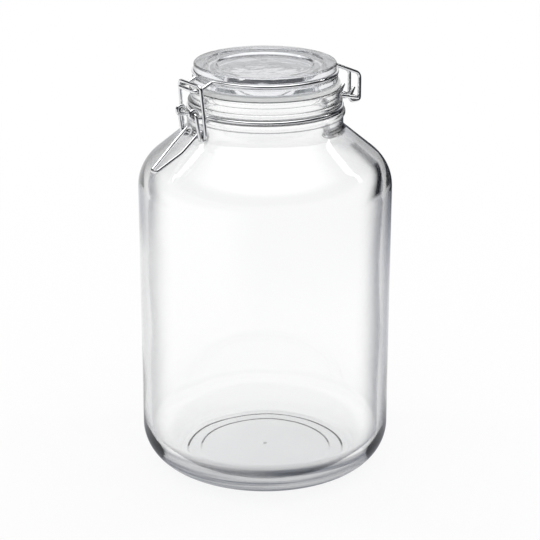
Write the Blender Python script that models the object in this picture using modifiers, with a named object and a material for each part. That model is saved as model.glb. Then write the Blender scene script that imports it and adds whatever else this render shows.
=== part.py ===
"""Clamp lid storage jar: glass jar and lid, sealing ring and a four-wire clasp and hinge.

Metres, +Z up. The origin is on the jar's axis, on the surface it stands on. The clasp faces -Y and the
hinge is at +Y. Front places are given as (out, up), where out is the distance from the jar's axis.
"""
import bpy
import numpy as np
from math import acos, atan2, cos, degrees, pi, radians, sin, sqrt, tan
from mathutils import Matrix

# Jar
JAR_RADIUS = 0.0823
JAR_HEIGHT = 0.2561
JAR_WALL = 0.0060
FLOOR_THICKNESS = 0.0045
HEEL_RADIUS = 0.0250
INNER_HEEL_RADIUS = 0.0225
FOOT_WIDTH = 0.0040
BASE_RING_RISE = 0.0008
BASE_RING_SLOPE = 0.0018
PUSH_UP_RADIUS = 0.0445
PUSH_UP_SLOPE = 0.0014
PUSH_UP = 0.0015
SHOULDER_RADIUS = 0.0266
SHOULDER_SLOPE = radians(39.6)

# Neck and mouth
MOUTH_RADIUS = 0.0402
MOUTH_WALL = 0.0083
RIM_HEIGHT = 0.0036
RIM_PROUD = 0.0008
NECK_HEIGHT = 0.0265
NECK_ROOT_FLARE = 0.0017
NECK_ROOT_BEND = 0.0060
BORE_BEND = 0.0150
NECK_WIRE_DROP = 0.0125
UPPER_BEAD_RADIUS = 0.0016
UPPER_BEAD_PROUD = 0.0018
LOWER_BEAD_RADIUS = 0.0021
LOWER_BEAD_PROUD = 0.0037

# Lid
LID_HEIGHT = 0.0122
FLANGE_INSET = 0.0020
FLANGE_HEIGHT = 0.0045
LID_RIM_INSET = 0.0010
LID_RIM_WIDTH = 0.0087
LID_STEP_WIDTH = 0.0068
LID_STEP_DEPTH = 0.0012
LID_PANEL_DEPTH = 0.0028
HOOP_RISE = 0.0005
PLUG_CLEARANCE = 0.0012
PLUG_DEPTH = 0.0050
PLUG_WALL = 0.0040
LID_THICKNESS = 0.0052

# Sealing ring
GASKET_INSET = 0.0005
GASKET_THICKNESS = 0.0028
GASKET_ROUNDING = 0.0007

# Wires
WIRE_RADIUS = 0.0012
WIRE_BEND = 0.0020
SEAT_GAP = 0.0003
PIN_END = 0.0010

# Clasp: how far its places lie out from the mouth rim's edge, and down from its top
PIVOT_OUT = 0.0106
PIVOT_DROP = 0.0092
EYE_SPREAD = 0.0074
COIL_CLEARANCE = 0.0003
COIL_DROP = 0.0240
BAIL_BAR_OUT = 0.0083
BAIL_PLAY = 0.0003
BAIL_SHOULDER = 0.0130
BAIL_TAPER = 0.0006
BAIL_CORNER = 0.0028
HANDLE_KNEE_OUT = 0.0195
HANDLE_KNEE_DROP = 0.0324
HANDLE_KNEE_SPREAD = 0.0070
HANDLE_TIP_OUT = 0.0357
HANDLE_TIP_DROP = 0.0433
HANDLE_TIP_SPREAD = 0.0026

# Tongue at the front of the lid wire: out from the mouth rim's edge, and down from the wire's ring
TONGUE_SPREAD = 0.0090
TONGUE_DIP_OUT = 0.0055
TONGUE_DIP = 0.0032
TONGUE_OUT = 0.0107
TONGUE_DROP = 0.0040

# Hinge at the back: out from the mouth rim's edge, and down from its top
HINGE_OUT = 0.0197
HINGE_DROP = 0.0163
HINGE_SPREAD = 0.0055
HINGE_SIDE_GAP = 0.0009
LEG_OUT = 0.0038
LEG_TOP_DROP = 0.0012
HOOK_SLACK = 0.0012
LEG_CORNER = 0.0050
STUB_LEAN = radians(27)
STUB_LENGTH = 0.0062

# How finely round shapes are cut: sides of the turned pieces, and how far a bend may stray from its arc
SIDES = 52
ARC_ERROR = 0.00010
RING_STEP = radians(6.5)

# Places that follow from the sizes above
FOOT_OUTER = JAR_RADIUS - HEEL_RADIUS
FOOT_INNER = FOOT_OUTER - FOOT_WIDTH
WIRE = 2 * WIRE_RADIUS
LOOP_RADIUS = WIRE + SEAT_GAP
RIM_RADIUS = MOUTH_RADIUS + MOUTH_WALL
NECK_RADIUS = RIM_RADIUS - RIM_PROUD
NECK_ROOT_RADIUS = RIM_RADIUS + NECK_ROOT_FLARE
NECK_RING = NECK_RADIUS + SEAT_GAP + WIRE_RADIUS
NECK_RING_Z = JAR_HEIGHT - NECK_WIRE_DROP
LID_SEAT_Z = JAR_HEIGHT + GASKET_THICKNESS + 2 * SEAT_GAP
LID_TOP_Z = LID_SEAT_Z + LID_HEIGHT
FLANGE_RADIUS = RIM_RADIUS - FLANGE_INSET
LID_RIM_RADIUS = FLANGE_RADIUS - LID_RIM_INSET
LID_STEP_RADIUS = LID_RIM_RADIUS - LID_RIM_WIDTH
LID_PANEL_RADIUS = LID_STEP_RADIUS - LID_STEP_WIDTH
GASKET_RADIUS = RIM_RADIUS - GASKET_INSET
PLUG_RADIUS = MOUTH_RADIUS - PLUG_CLEARANCE
HOOP_GROOVE = LID_RIM_RADIUS - WIRE_RADIUS
HOOP_RING = HOOP_GROOVE + SEAT_GAP + WIRE_RADIUS
HOOP_Z = LID_SEAT_Z + FLANGE_HEIGHT + HOOP_RISE + WIRE_RADIUS
ARM_X = EYE_SPREAD + WIRE + SEAT_GAP
COIL_X = ARM_X - WIRE - SEAT_GAP
BAIL_X = ARM_X + WIRE + SEAT_GAP
PIN_X = EYE_SPREAD - WIRE_RADIUS - PIN_END
HINGE_BAR_X = HINGE_SPREAD + WIRE + HINGE_SIDE_GAP

PIVOT = np.array([RIM_RADIUS + PIVOT_OUT, JAR_HEIGHT - PIVOT_DROP])
NECK_BESIDE_COIL = sqrt(NECK_ROOT_RADIUS ** 2 - EYE_SPREAD ** 2)
COIL_OUT = NECK_BESIDE_COIL + COIL_CLEARANCE + LOOP_RADIUS + WIRE_RADIUS
COIL = np.array([COIL_OUT, JAR_HEIGHT - COIL_DROP])
TONGUE_BEND = np.array([RIM_RADIUS + TONGUE_DIP_OUT, HOOP_Z - TONGUE_DIP])
TONGUE_END = np.array([RIM_RADIUS + TONGUE_OUT, HOOP_Z - TONGUE_DROP])
TONGUE_FALL = (TONGUE_DROP - TONGUE_DIP) / (TONGUE_OUT - TONGUE_DIP_OUT)
TONGUE_UNDER_BAR = TONGUE_BEND[1] - TONGUE_FALL * (BAIL_BAR_OUT - TONGUE_DIP_OUT)
BAIL_BAR = np.array([RIM_RADIUS + BAIL_BAR_OUT, TONGUE_UNDER_BAR + WIRE + BAIL_PLAY])
HINGE = np.array([RIM_RADIUS + HINGE_OUT, JAR_HEIGHT - HINGE_DROP])


def empty_scene():
    """Removes whatever the file holds, and makes the collection for the parts."""
    for obj in list(bpy.data.objects):
        bpy.data.objects.remove(obj)
    parts = bpy.data.collections.new("clamp_lid_storage_jar")
    bpy.context.scene.collection.children.link(parts)
    return parts


def finish(name, colour, roughness, metallic, transmission=0.0):
    """A Principled material of one sub-part."""
    mat = bpy.data.materials.new(name)
    mat.use_nodes = True
    shader = mat.node_tree.nodes["Principled BSDF"]
    shader.inputs["Base Color"].default_value = (*colour, 1.0)
    shader.inputs["Roughness"].default_value = roughness
    shader.inputs["Metallic"].default_value = metallic
    shader.inputs["Transmission Weight"].default_value = transmission
    return mat


def glass(name):
    return finish(name, (0.93, 0.96, 0.95), 0.03, 0.0, 1.0)


def steel(name):
    return finish(name, (0.74, 0.75, 0.76), 0.18, 1.0)


# Outlines and paths

def arc_step(radius):
    """The angle that one straight piece of an arc may span."""
    return 2 * acos(1 - ARC_ERROR / radius)


def bend(before, corner, after, radius):
    """The arc that rounds one corner of a path, as points in the plane of its two sides."""
    to_before = (before - corner) / np.linalg.norm(before - corner)
    to_after = (after - corner) / np.linalg.norm(after - corner)
    opening = acos(np.clip(to_before @ to_after, -1.0, 1.0))
    turn = pi - opening
    if radius == 0.0 or turn < radians(1.0):
        return [corner]
    middle = (to_before + to_after) / np.linalg.norm(to_before + to_after)
    centre = corner + middle * radius / sin(opening / 2)
    across = to_after - (to_after @ middle) * middle
    across = across / np.linalg.norm(across)
    count = max(1, round(turn / arc_step(radius)))
    angles = np.linspace(-turn / 2, turn / 2, count + 1)
    return [centre + radius * (across * sin(a) - middle * cos(a)) for a in angles]


def rounded(corners):
    """A path through corners given as (point, bend radius), with both ends left as they are."""
    points = [np.array(p, float) for p, _ in corners]
    path = [points[0]]
    for before, (_, radius), corner, after in zip(points, corners[1:-1], points[1:], points[2:]):
        path += bend(before, corner, after, radius)
    path.append(points[-1])
    return path


def touch_angle(centre, point, radius, side):
    """Where a line from point touches the circle: its angle at the centre, on one side or the other."""
    across = np.array(point) - centre
    distance = np.linalg.norm(across)
    return atan2(across[1], across[0]) + side * acos(radius / distance)


def on_circle(centre, radius, angle):
    return np.array(centre) + radius * np.array([cos(angle), sin(angle)])


def front(x, place):
    """A point in front of the jar: x to the side, and (out, up)."""
    return np.array([x, -place[0], place[1]])


def back(x, place):
    """A point behind the jar: x to the side, and (out, up)."""
    return np.array([x, place[0], place[1]])


def ring_arc(radius, z, x_front, x_back):
    """The side of a wire ring, from the back round +X to the front, between two distances from the plane."""
    start = pi / 2 - np.arcsin(x_back / radius)
    end = -pi / 2 + np.arcsin(x_front / radius)
    count = round((start - end) / RING_STEP)
    angles = np.linspace(start, end, count + 1)
    return [np.array([radius * cos(a), radius * sin(a), z]) for a in angles]


def mirrored(half):
    """A whole wire from its +X half, which ends near the plane x = 0."""
    other = [np.array([-p[0], p[1], p[2]]) for p in reversed(half)]
    return half + other


# Making objects

def turned(parts, name, corners, mat):
    """A solid of revolution: an outline of (radius, height, rounding) turned about Z."""
    path = rounded([((r, z), f) for r, z, f in corners])
    mesh = bpy.data.meshes.new(name)
    verts = [(p[0], 0.0, p[1]) for p in path]
    mesh.from_pydata(verts, [(i, i + 1) for i in range(len(verts) - 1)], [])
    obj = bpy.data.objects.new(name, mesh)
    obj.data.materials.append(mat)
    parts.objects.link(obj)
    screw = obj.modifiers.new("turn", "SCREW")
    screw.axis = "Z"
    screw.angle = 2 * pi
    screw.steps = screw.render_steps = SIDES
    screw.use_merge_vertices = True
    screw.merge_threshold = 0.00001
    screw.use_smooth_shade = True
    return obj


def closed_outline(corners):
    """A ring's outline, closed by starting and ending in the middle of its first side."""
    (r0, z0, _), (r1, z1, _) = corners[0], corners[-1]
    middle = ((r0 + r1) / 2, (z0 + z1) / 2, 0.0)
    return [middle, *corners, middle]


def wire(parts, name, path, mat):
    """A bent wire: a round tube with flat ends along a path."""
    curve = bpy.data.curves.new(name, "CURVE")
    curve.dimensions = "3D"
    curve.bevel_depth = WIRE_RADIUS
    curve.bevel_resolution = 2
    curve.use_fill_caps = True
    spline = curve.splines.new("POLY")
    spline.points.add(len(path) - 1)
    for point, place in zip(spline.points, path):
        point.co = (*place, 1.0)
    obj = bpy.data.objects.new(name, curve)
    obj.data.materials.append(mat)
    parts.objects.link(obj)
    return obj


def pivot(parts, name, place, parent=None, parent_place=None):
    """An empty on a joint's axis."""
    empty = bpy.data.objects.new(name, None)
    empty.location = place
    parts.objects.link(empty)
    if parent is not None:
        empty.parent = parent
        empty.matrix_parent_inverse = Matrix.Translation(-parent_place)
    return empty


def hang(obj, empty, place):
    """Hangs a piece on a joint's empty, and leaves it where it is."""
    obj.parent = empty
    obj.matrix_parent_inverse = Matrix.Translation([-c for c in place])


# Glass

def jar_body(parts):
    """The jar: one outline from the middle of the floor, up the inside, over the rim and down the outside."""
    root_z = JAR_HEIGHT - NECK_HEIGHT
    rise = tan(SHOULDER_SLOPE)
    inner_radius = JAR_RADIUS - JAR_WALL
    inner_drop = JAR_WALL / cos(SHOULDER_SLOPE)
    floor_z = PUSH_UP + FLOOR_THICKNESS
    shoulder_z = root_z - (JAR_RADIUS - NECK_ROOT_RADIUS) * rise
    inner_shoulder_z = root_z - (inner_radius - NECK_ROOT_RADIUS) * rise - inner_drop
    bore_z = root_z + (NECK_ROOT_RADIUS - MOUTH_RADIUS) * rise - inner_drop
    lip_z = JAR_HEIGHT - RIM_HEIGHT
    lower_bead_z = NECK_RING_Z - WIRE_RADIUS - 2 * SEAT_GAP - LOWER_BEAD_RADIUS
    upper_bead_z = NECK_RING_Z + WIRE_RADIUS + 2 * SEAT_GAP + UPPER_BEAD_RADIUS
    upper_bead = NECK_RADIUS + UPPER_BEAD_PROUD
    lower_bead = NECK_RADIUS + LOWER_BEAD_PROUD
    turned(parts, "jar_body", [
        (0.0, floor_z, 0.0),
        (inner_radius, floor_z, INNER_HEEL_RADIUS),
        (inner_radius, inner_shoulder_z, SHOULDER_RADIUS - JAR_WALL),
        (MOUTH_RADIUS, bore_z, BORE_BEND),
        (MOUTH_RADIUS, JAR_HEIGHT, 0.0012),
        (RIM_RADIUS, JAR_HEIGHT, 0.0012),
        (RIM_RADIUS, lip_z, 0.0006),
        (NECK_RADIUS, lip_z, 0.0),
        (NECK_RADIUS, upper_bead_z + UPPER_BEAD_RADIUS, 0.0004),
        (upper_bead, upper_bead_z + UPPER_BEAD_RADIUS, 0.0012),
        (upper_bead, upper_bead_z - UPPER_BEAD_RADIUS, 0.0012),
        (NECK_RADIUS, upper_bead_z - UPPER_BEAD_RADIUS, 0.0),
        (NECK_RADIUS, lower_bead_z + LOWER_BEAD_RADIUS, 0.0004),
        (lower_bead, lower_bead_z + LOWER_BEAD_RADIUS, 0.0019),
        (lower_bead, lower_bead_z - LOWER_BEAD_RADIUS, 0.0016),
        (NECK_ROOT_RADIUS, lower_bead_z - LOWER_BEAD_RADIUS, 0.0006),
        (NECK_ROOT_RADIUS, root_z, NECK_ROOT_BEND),
        (JAR_RADIUS, shoulder_z, SHOULDER_RADIUS),
        (JAR_RADIUS, 0.0, HEEL_RADIUS),
        (FOOT_INNER, 0.0, 0.0010),
        (FOOT_INNER - BASE_RING_SLOPE, BASE_RING_RISE, 0.0010),
        (PUSH_UP_RADIUS, BASE_RING_RISE, 0.0010),
        (PUSH_UP_RADIUS - PUSH_UP_SLOPE, PUSH_UP, 0.0010),
        (0.0, PUSH_UP, 0.0),
    ], glass("jar glass"))


def jar_lid(parts, empty, place):
    """The lid: sunk panel and rim on top, hoop groove and flange outside, plug ring and recess below."""
    panel_z = LID_TOP_Z - LID_PANEL_DEPTH
    step_z = LID_TOP_Z - LID_STEP_DEPTH
    flange_z = LID_SEAT_Z + FLANGE_HEIGHT
    rim_z = HOOP_Z + WIRE_RADIUS + SEAT_GAP
    plug_z = LID_SEAT_Z - PLUG_DEPTH
    recess_z = panel_z - LID_THICKNESS
    recess = PLUG_RADIUS - PLUG_WALL
    obj = turned(parts, "jar_lid", [
        (0.0, recess_z, 0.0),
        (recess - 0.0025, recess_z, 0.0040),
        (recess, plug_z, 0.0010),
        (PLUG_RADIUS, plug_z, 0.0010),
        (PLUG_RADIUS, LID_SEAT_Z, 0.0),
        (FLANGE_RADIUS, LID_SEAT_Z, 0.0010),
        (FLANGE_RADIUS, flange_z, 0.0010),
        (HOOP_GROOVE, flange_z, 0.0),
        (HOOP_GROOVE, rim_z, 0.0),
        (LID_RIM_RADIUS, rim_z, 0.0004),
        (LID_RIM_RADIUS, LID_TOP_Z, 0.0014),
        (LID_STEP_RADIUS + 0.0014, LID_TOP_Z, 0.0016),
        (LID_STEP_RADIUS, step_z, 0.0012),
        (LID_PANEL_RADIUS + 0.0016, step_z, 0.0016),
        (LID_PANEL_RADIUS, panel_z, 0.0012),
        (0.0, panel_z, 0.0),
    ][::-1], glass("lid glass"))
    hang(obj, empty, place)


def lid_gasket(parts, empty, place):
    """The sealing ring round the lid's plug, between the flange and the mouth rim."""
    inner = PLUG_RADIUS + SEAT_GAP
    low = JAR_HEIGHT + SEAT_GAP
    high = low + GASKET_THICKNESS
    corners = [
        (inner, high, GASKET_ROUNDING),
        (GASKET_RADIUS, high, GASKET_ROUNDING),
        (GASKET_RADIUS, low, GASKET_ROUNDING),
        (inner, low, GASKET_ROUNDING),
    ]
    obj = turned(parts, "lid_gasket", closed_outline(corners), finish("clear rubber", (0.86, 0.87, 0.85), 0.45, 0.0))
    hang(obj, empty, place)


# Wires

def neck_wire(parts):
    """The neck wire: a front eye, the side of the neck and half the hinge bar, and the same mirrored."""
    start = on_circle(PIVOT, LOOP_RADIUS, radians(195))
    run = [NECK_RING + 0.0002, NECK_RING_Z]
    enter = touch_angle(PIVOT, run, LOOP_RADIUS, 1)
    sweep = (radians(195) - enter) % (2 * pi)
    angles = np.linspace(radians(195), radians(195) - sweep, round(sweep / arc_step(LOOP_RADIUS)) + 1)
    eye = [front(EYE_SPREAD, on_circle(PIVOT, LOOP_RADIUS, a)) for a in angles]
    side = ring_arc(NECK_RING, NECK_RING_Z, EYE_SPREAD + 2 * WIRE, HINGE_BAR_X + 2 * WIRE)[::-1]
    corner_front = front(EYE_SPREAD, run)
    corner_back = back(HINGE_BAR_X, run)
    past_bead = back(HINGE_BAR_X, [NECK_RADIUS + LOWER_BEAD_PROUD + WIRE_RADIUS, NECK_RING_Z])
    bar = back(HINGE_BAR_X, HINGE)
    middle = back(0.0, HINGE)
    tail = rounded([(side[-1], 0), (corner_back, WIRE_BEND), (past_bead, WIRE_BEND), (bar, WIRE_BEND), (middle, 0)])
    half = eye + bend(eye[-1], corner_front, side[0], WIRE_BEND) + side + tail[1:-1]
    wire(parts, "neck_wire", mirrored(half), steel("neck wire steel"))


def lid_wire(parts, empty, place):
    """The lid wire: tongue, side of the hoop, hinge arm, leg, hook and stub, and the same mirrored."""
    leg = HINGE[0] + LEG_OUT
    leg_top = JAR_HEIGHT - LEG_TOP_DROP
    below = HINGE[1] - LOOP_RADIUS
    hoop = [HOOP_RING, HOOP_Z]
    past_flange = [FLANGE_RADIUS + SEAT_GAP, HOOP_Z]
    leave = pi - STUB_LEAN
    middle = HINGE - [HOOK_SLACK, 0.0]
    hook = [back(HINGE_SPREAD, on_circle(middle, LOOP_RADIUS, a)) for a in np.linspace(1.5 * pi, leave, 5)]
    stub = hook[-1] + STUB_LENGTH * np.array([0.0, sin(STUB_LEAN), cos(STUB_LEAN)])
    side = ring_arc(HOOP_RING, HOOP_Z, TONGUE_SPREAD + 2 * WIRE, HINGE_SPREAD + 2 * WIRE)
    tail = rounded([
        (hook[0], 0),
        (back(HINGE_SPREAD, [leg, below]), WIRE_BEND),
        (back(HINGE_SPREAD, [leg, leg_top]), LEG_CORNER),
        (back(HINGE_SPREAD, past_flange), WIRE_BEND),
        (back(HINGE_SPREAD, hoop), WIRE_BEND),
        (side[0], 0),
    ])
    nose = rounded([
        (side[-1], 0),
        (front(TONGUE_SPREAD, hoop), WIRE_BEND),
        (front(TONGUE_SPREAD, past_flange), WIRE_BEND),
        (front(TONGUE_SPREAD, TONGUE_BEND), WIRE_BEND),
        (front(TONGUE_SPREAD, TONGUE_END), WIRE_BEND),
        (front(0.0, TONGUE_END), 0),
    ])
    half = [stub] + hook[::-1] + tail[1:-1] + side + nose[1:-1]
    obj = wire(parts, "lid_wire", mirrored(half), steel("lid wire steel"))
    hang(obj, empty, place)


def clasp_lever(parts, empty, place):
    """The handle: pivot pin, arm, coiled eye, side and tip, and the same mirrored."""
    arrive = touch_angle(COIL, PIVOT, LOOP_RADIUS, -1)
    knee = [RIM_RADIUS + HANDLE_KNEE_OUT, JAR_HEIGHT - HANDLE_KNEE_DROP]
    tip = [RIM_RADIUS + HANDLE_TIP_OUT, JAR_HEIGHT - HANDLE_TIP_DROP]
    leave = touch_angle(COIL, knee, LOOP_RADIUS, 1)
    sweep = (arrive - leave) % (2 * pi)
    count = round(sweep / arc_step(LOOP_RADIUS))
    coil = [
        front(ARM_X + (COIL_X - ARM_X) * i / count, on_circle(COIL, LOOP_RADIUS, arrive - sweep * i / count))
        for i in range(count + 1)
    ]
    top = rounded([(front(PIN_X, PIVOT), 0), (front(ARM_X, PIVOT), WIRE_BEND), (coil[0], 0)])
    side = rounded([
        (coil[-1], 0),
        (front(HANDLE_KNEE_SPREAD, knee), 0.0080),
        (front(HANDLE_TIP_SPREAD, tip), WIRE_BEND),
        (front(0.0, tip), 0),
    ])
    half = top[:-1] + coil + side[1:-1]
    obj = wire(parts, "clasp_lever", mirrored(half), steel("lever steel"))
    hang(obj, empty, place)
    print("coil turns through %.0f degrees and steps %.2f mm sideways" % (degrees(sweep), 1000 * (ARM_X - COIL_X)))


def clasp_bail(parts, empty, place):
    """The bail: pin through the coiled eye, leg, corner and bar, and the same mirrored."""
    along = (BAIL_BAR - COIL) / np.linalg.norm(BAIL_BAR - COIL)
    shoulder = COIL + along * BAIL_SHOULDER
    half = rounded([
        (front(PIN_X, COIL), 0),
        (front(BAIL_X, COIL), WIRE_BEND),
        (front(BAIL_X, shoulder), 0.0100),
        (front(BAIL_X - BAIL_TAPER, BAIL_BAR), BAIL_CORNER),
        (front(0.0, BAIL_BAR), 0),
    ])
    obj = wire(parts, "clasp_bail", mirrored(half[:-1]), steel("bail steel"))
    hang(obj, empty, place)


def main():
    parts = empty_scene()
    hinge_place = back(0.0, HINGE)
    pivot_place = front(0.0, PIVOT)
    coil_place = front(0.0, COIL)
    hinge_empty = pivot(parts, "lid_hinge_axis", hinge_place)
    lever_empty = pivot(parts, "lever_turn_axis", pivot_place)
    bail_empty = pivot(parts, "bail_swing_axis", coil_place, lever_empty, pivot_place)
    jar_body(parts)
    neck_wire(parts)
    jar_lid(parts, hinge_empty, hinge_place)
    lid_gasket(parts, hinge_empty, hinge_place)
    lid_wire(parts, hinge_empty, hinge_place)
    clasp_lever(parts, lever_empty, pivot_place)
    clasp_bail(parts, bail_empty, coil_place)
    bpy.context.view_layer.update()
    print("lid hinge axis at", hinge_place)
    print("lever axis at", pivot_place)
    print("bail axis at", coil_place)


main()
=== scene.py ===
# %% [markdown]
# # A clamp lid storage jar
#
# The imported model gives every piece's place, size and motion. Here the same
# pieces are made again for looks: round, thick glass that bends light, a milky rubber ring and four bent steel
# wires. Sizes are in metres, the jar stands on z = 0 and its clasp faces -Y. The imported pieces stay where they
# are, and each one made here rides on the same body and takes the place of one of them.

# %% The imported frame
from math import acos, asin, atan2, ceil, cos, degrees, hypot, pi, radians, sin, sqrt, tan

import bpy
import numpy as np
from mathutils import Matrix


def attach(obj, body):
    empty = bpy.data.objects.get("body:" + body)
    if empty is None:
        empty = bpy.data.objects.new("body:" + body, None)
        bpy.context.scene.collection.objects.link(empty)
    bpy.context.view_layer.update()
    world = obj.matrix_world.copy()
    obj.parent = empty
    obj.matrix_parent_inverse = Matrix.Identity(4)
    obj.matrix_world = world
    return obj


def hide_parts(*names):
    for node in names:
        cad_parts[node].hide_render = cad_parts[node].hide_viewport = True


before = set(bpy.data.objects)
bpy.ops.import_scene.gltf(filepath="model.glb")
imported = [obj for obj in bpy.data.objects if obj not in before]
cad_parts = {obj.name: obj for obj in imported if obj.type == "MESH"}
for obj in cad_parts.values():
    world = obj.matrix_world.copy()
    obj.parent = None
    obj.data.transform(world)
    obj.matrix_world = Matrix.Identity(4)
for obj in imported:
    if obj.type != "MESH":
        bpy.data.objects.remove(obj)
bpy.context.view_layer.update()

# %% [markdown]
# ## The camera
#
# The photograph was taken from a little above, with the clasp to the left. Its lens stood about 1.2 m away, and
# the small shift stands for the way in which the picture was cropped. A camera can be aimed with a constraint,
# but three directions worked out here and put into its matrix leave nothing that moves later on.

# %% Camera
CAMERA_AZIMUTH = radians(55.0)
CAMERA_RISE = radians(19.47)
CAMERA_DISTANCE = 1.189
LOOKED_AT = np.array([0.0, 0.0, 0.135])

to_camera = np.array([
    sin(CAMERA_AZIMUTH) * cos(CAMERA_RISE), -cos(CAMERA_AZIMUTH) * cos(CAMERA_RISE), sin(CAMERA_RISE)
])
camera_right = np.array([cos(CAMERA_AZIMUTH), sin(CAMERA_AZIMUTH), 0.0])
turn = Matrix(np.column_stack([camera_right, np.cross(to_camera, camera_right), to_camera]).tolist())
camera = bpy.data.objects.new("camera", bpy.data.cameras.new("camera"))
camera.data.lens = 120.1
camera.data.sensor_width = 36.0
camera.data.shift_x = 0.0091
camera.data.shift_y = -0.0115
camera.matrix_world = Matrix.Translation(LOOKED_AT + CAMERA_DISTANCE * to_camera) @ turn.to_4x4()
bpy.context.scene.collection.objects.link(camera)
bpy.context.scene.camera = camera
bpy.context.scene.view_settings.view_transform = "Standard"
print("camera at", [round(c, 3) for c in camera.matrix_world.translation])

# %% [markdown]
# ## Building materials from nodes
#
# Every finish below is a small tree of nodes. The first helper adds a node and fills its inputs, each with a plain
# value or with another node's output, so that a finish reads as a list of what goes into it. The others are the
# sums, mixes and noises that come back in every finish. A picture could be wrapped round the pieces instead, but
# noise has no seams, no size in pixels and no file.

# %% Helpers for nodes
def put(tree, kind, inputs=None, **settings):
    """Adds a shader node. An input is a value, or another node's output, which is then linked."""
    node = tree.nodes.new("ShaderNode" + kind)
    for name, value in settings.items():
        setattr(node, name, value)
    for name, value in (inputs or {}).items():
        if isinstance(value, bpy.types.NodeSocket):
            tree.links.new(value, node.inputs[name])
        else:
            node.inputs[name].default_value = value
    return node


def new_tree(name):
    """An empty material and its tree."""
    material = bpy.data.materials.new(name)
    material.use_nodes = True
    material.node_tree.nodes.clear()
    return material, material.node_tree


def between(tree, factor, low, high, first=0.0, last=1.0):
    """Carries a value from the range low..high to the range first..last, and stops at its ends."""
    inputs = {"Value": factor, "From Min": low, "From Max": high, "To Min": first, "To Max": last}
    return put(tree, "MapRange", inputs, interpolation_type="SMOOTHSTEP").outputs["Result"]


def speckle(tree, where, scale, detail=2.0):
    """Noise from 0 to 1 over the surface, at a number of grains per metre."""
    return put(tree, "TexNoise", {"Vector": where, "Scale": scale, "Detail": detail}).outputs["Fac"]


def calc(tree, operation, a, b=0.0):
    """One step of arithmetic: a sum, difference, product, the larger of two values, and so on."""
    return put(tree, "Math", {0: a, 1: b}, operation=operation).outputs[0]


def tinted(tree, factor, first, last):
    """Mixes two tints by a factor; each is a colour or another node's output."""
    first, last = (c if isinstance(c, bpy.types.NodeSocket) else (*c, 1.0) for c in (first, last))
    return put(tree, "Mix", {0: factor, 6: first, 7: last}, data_type="RGBA").outputs[2]


def mixed(tree, factor, first, last):
    """Mixes two shaders by a factor."""
    return put(tree, "MixShader", {0: factor, 1: first.outputs[0], 2: last.outputs[0]})


def finished(tree, surface):
    """Joins the finished surface to the material."""
    put(tree, "OutputMaterial", {"Surface": surface})
    print(f"a finish of {len(tree.nodes)} nodes")

# %% [markdown]
# ## Studio
#
# A glass jar shows almost nothing but its surroundings, so the room is a part of its finish. Rays that pass
# through glass see white walls, which keeps the glass bright, under a darker ceiling. Rays that are mirrored
# see a room that is lit on the left and dark on the right, a light overhead and two slim boxes of light that
# lean beside the jar: these draw the bright and black lines on wire and glass. The light that falls on matt
# things is plain and even, and the white floor keeps a part of the jar's shadow.
#
# A photographer would hang cards and lamps round the jar. Here the world's background is the room, since it needs
# no objects, makes no noise in the picture and can be told which rays it answers. Its dim parts are a cool grey.
#
# Glass this thick passes light on and mirrors it inside many times, so rays may bounce more often than usual.
# With fewer bounces the root of the neck would turn black.

# %% Levels of the room
GLOSSY_BOUNCES, TRANSMISSION_BOUNCES, MAX_BOUNCES = 8, 16, 20
WHITE, COOL_GREY = (1.0, 1.0, 1.0), (0.86, 0.89, 1.0)
EVEN_LIGHT = 0.90
GLASS_CEILING, GLASS_WALL_TOP, GLASS_CEILING_FROM = 0.25, 0.35, 0.55
CEILING_LEVEL, WALL_FADE_FROM, WALL_FADE_TO = 0.03, 0.02, 0.30
LIT_SIDE, DARK_SIDE = 1.0, 0.05
LIT_FROM, LIT_TO, LIT_BLUR = radians(-175), radians(-20), radians(20)
# The way from the jar to the room's dark side. The glass's painted edge shade is painted weaker on the opposite, lit
# side.
DARK_WAY = CAMERA_AZIMUTH + pi / 2 + (LIT_FROM + LIT_TO) / 2
BEHIND_FULL, BEHIND_END = radians(15), radians(45)
BEHIND_FADE_FROM, BEHIND_FADE_TO = 0.40, 0.55
OVERHEAD_LEVEL, OVERHEAD_FROM, OVERHEAD_FULL = 2.8, 0.68, 0.97
BOX_LEVEL, BOX_HALF_WIDTH = 7.0, radians(5)
BOX_FOOT, BOX_HEAD = (radians(24), radians(32)), (radians(42), radians(55))
BOX_LEAN = (radians(26), radians(42))
BOX_ANGLES = [(radians(111), radians(125)), (radians(-109), radians(-123))]


def greyed(tree, level):
    """The colour of a light of some level: white where it is full, and a cool grey where it is dim."""
    return tinted(tree, between(tree, level, 0.1, 1.0), COOL_GREY, WHITE)


def off_angle(tree, along, over, angle):
    """How far a direction lies from an angle round the jar, which is counted from the camera's side."""
    off = calc(tree, "SUBTRACT", calc(tree, "ARCTAN2", over, along), CAMERA_AZIMUTH - pi / 2)
    off = calc(tree, "SUBTRACT", off, angle)
    off = put(tree, "Math", {0: off, 1: pi, 2: -pi}, operation="WRAP").outputs[0]
    return calc(tree, "ABSOLUTE", off)


def side_level(tree, along, over):
    """The level of the room's sides: lit on the left and behind it, and dark elsewhere."""
    off = off_angle(tree, along, over, (LIT_FROM + LIT_TO) / 2)
    reach = (LIT_TO - LIT_FROM) / 2
    return between(tree, off, reach - LIT_BLUR, reach + LIT_BLUR, LIT_SIDE, DARK_SIDE)

# %% The room
world = bpy.data.worlds.new("studio")
bpy.context.scene.world = world
world.use_nodes = True
room = world.node_tree
room.nodes.clear()
bpy.context.scene.cycles.glossy_bounces = GLOSSY_BOUNCES
bpy.context.scene.cycles.transmission_bounces = TRANSMISSION_BOUNCES
bpy.context.scene.cycles.max_bounces = MAX_BOUNCES

way = put(room, "TexCoord").outputs["Generated"]
axes = put(room, "SeparateXYZ", {"Vector": way}).outputs
height = axes["Z"]
in_glass = between(room, height, GLASS_WALL_TOP, GLASS_CEILING_FROM, 1.0, GLASS_CEILING)

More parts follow.
